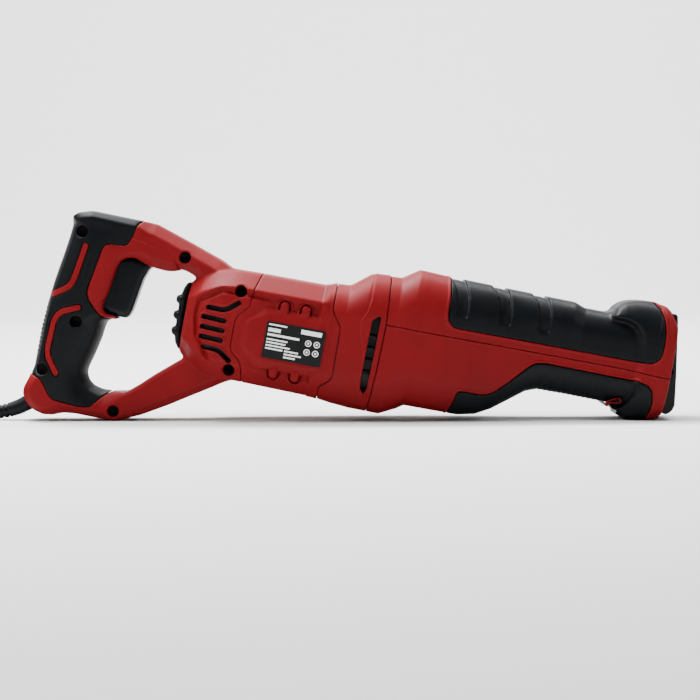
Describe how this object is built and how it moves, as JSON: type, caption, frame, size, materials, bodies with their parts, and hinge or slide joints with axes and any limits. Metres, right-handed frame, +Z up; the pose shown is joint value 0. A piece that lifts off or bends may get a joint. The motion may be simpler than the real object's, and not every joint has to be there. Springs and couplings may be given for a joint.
{
  "type": "reciprocating saw",
  "caption": "Corded reciprocating saw with a D handle, ribbed soft grip, vented motor housing, booted gearbox nose and a pivoting steel shoe, with its mains lead coiled beside it.",
  "frame": {"origin": "bottom centre of the tool without its mains lead, on the surface that it stands on", "axes": "+X towards the blade end, +Y to the left of the tool seen from behind, +Z up; the tool leans nose-down as it stands"},
  "size_m": [0.6214, 0.1294, 0.1526],
  "materials": {
    "red_plastic": "satin",
    "black_rubber": "soft satin",
    "black_plastic": "satin",
    "black_steel": "satin black",
    "steel": "ground",
    "laminations": "varnished",
    "copper": "bright copper",
    "bronze": "sintered bronze",
    "brass": "bright",
    "aluminium": "as cast",
    "carbon": "matte graphite",
    "label": "matte film"
  },
  "bodies": {
    "saw": {"handle_shell_right": "red_plastic", "handle_shell_left": "red_plastic", "motor_housing": "red_plastic", "mid_housing": "red_plastic", "front_cover_upper": "red_plastic", "front_cover_lower": "red_plastic", "grip_overmould_right": "black_rubber", "grip_overmould_left": "black_rubber", "boot_upper": "black_rubber", "boot_lower": "black_rubber", "rear_bumper": "black_rubber", "cord_guard": "black_rubber", "cord_lead": "black_rubber", "cord_coil": "black_rubber", "cord_tail": "black_rubber", "switch_module": "black_plastic", "cord_clamp": "black_plastic", "mains_plug": "black_plastic", "handle_screw_1": "steel", "handle_screw_2": "steel", "handle_screw_3": "steel", "handle_screw_4": "steel", "handle_screw_5": "steel", "handle_screw_6": "steel", "handle_screw_7": "steel", "gear_spindle": "steel", "rear_bearing": "steel", "front_bearing": "steel", "stator": "laminations", "rod_bush_rear": "bronze", "rod_bush_front": "bronze", "plug_pin_earth": "brass", "plug_pin_live": "brass", "plug_pin_neutral": "brass", "gearbox_frame": "aluminium", "brush_right": "carbon", "brush_left": "carbon", "rating_label": "label", "noise_capacitor": "label"},
    "rotor": {"motor_shaft": "steel", "armature_core": "laminations", "commutator": "copper", "cooling_fan": "black_plastic"},
    "crank": {"drive_gear": "steel", "crank_pin": "steel"},
    "plunger": {"crank_yoke": "steel", "plunger_rod": "steel", "blade_clamp": "black_steel"},
    "collar": {"clamp_collar": "black_plastic"},
    "trigger": {"trigger": "black_plastic"},
    "lock_button": {"lock_button": "black_plastic"},
    "shoe_carrier": {"shoe_bracket": "black_steel"},
    "shoe": {"shoe_plate": "black_steel", "shoe_pin_right": "steel", "shoe_pin_left": "steel"},
    "lock_lever": {"shoe_lock_lever": "red_plastic"}
  },
  "joints": [
    {"name": "motor_spin", "type": "hinge", "parent": "saw", "child": "rotor", "pos_m": [0.00298, 0.0004, 0.05361], "axis": [0.9825, 0, -0.1864], "continuous": true},
    {"name": "gear_spin", "type": "hinge", "parent": "saw", "child": "crank", "pos_m": [0.04414, 0.0004, 0.05598], "axis": [0.1864, 0, 0.9825], "continuous": true},
    {"name": "plunger_stroke", "type": "slide", "parent": "saw", "child": "plunger", "axis": [0.9825, 0, -0.1864], "range_m": [0, 0.028]},
    {"name": "clamp_turn", "type": "hinge", "parent": "plunger", "child": "collar", "pos_m": [0.18584, 0.0004, 0.04639], "axis": [0.9825, 0, -0.1864], "range_deg": [0, 60], "stiffness_Nm_per_rad": 0.02, "springref_deg": -11.46},
    {"name": "trigger_pull", "type": "slide", "parent": "saw", "child": "trigger", "axis": [-0.9825, 0, 0.1864], "range_m": [0, 0.006], "stiffness_N_per_m": 800, "springref_m": -0.002},
    {"name": "lock_button_press", "type": "slide", "parent": "saw", "child": "lock_button", "axis": [0, -1, 0], "range_m": [0, 0.002], "stiffness_N_per_m": 400, "springref_m": -0.001},
    {"name": "shoe_extend", "type": "slide", "parent": "saw", "child": "shoe_carrier", "axis": [0.9825, 0, -0.1864], "range_m": [0, 0.015]},
    {"name": "shoe_tilt", "type": "hinge", "parent": "shoe_carrier", "child": "shoe", "pos_m": [0.22747, 0.0004, 0.04053], "axis": [0, 1, 0], "range_deg": [0, 25]},
    {"name": "shoe_lock_turn", "type": "hinge", "parent": "saw", "child": "lock_lever", "pos_m": [0.19358, 0.0004, 0.0148], "axis": [0, -1, 0], "range_deg": [0, 50]}
  ],
  "couplings": [
    {"joint": "gear_spin", "follows": "motor_spin", "ratio": 0.2}
  ]
}
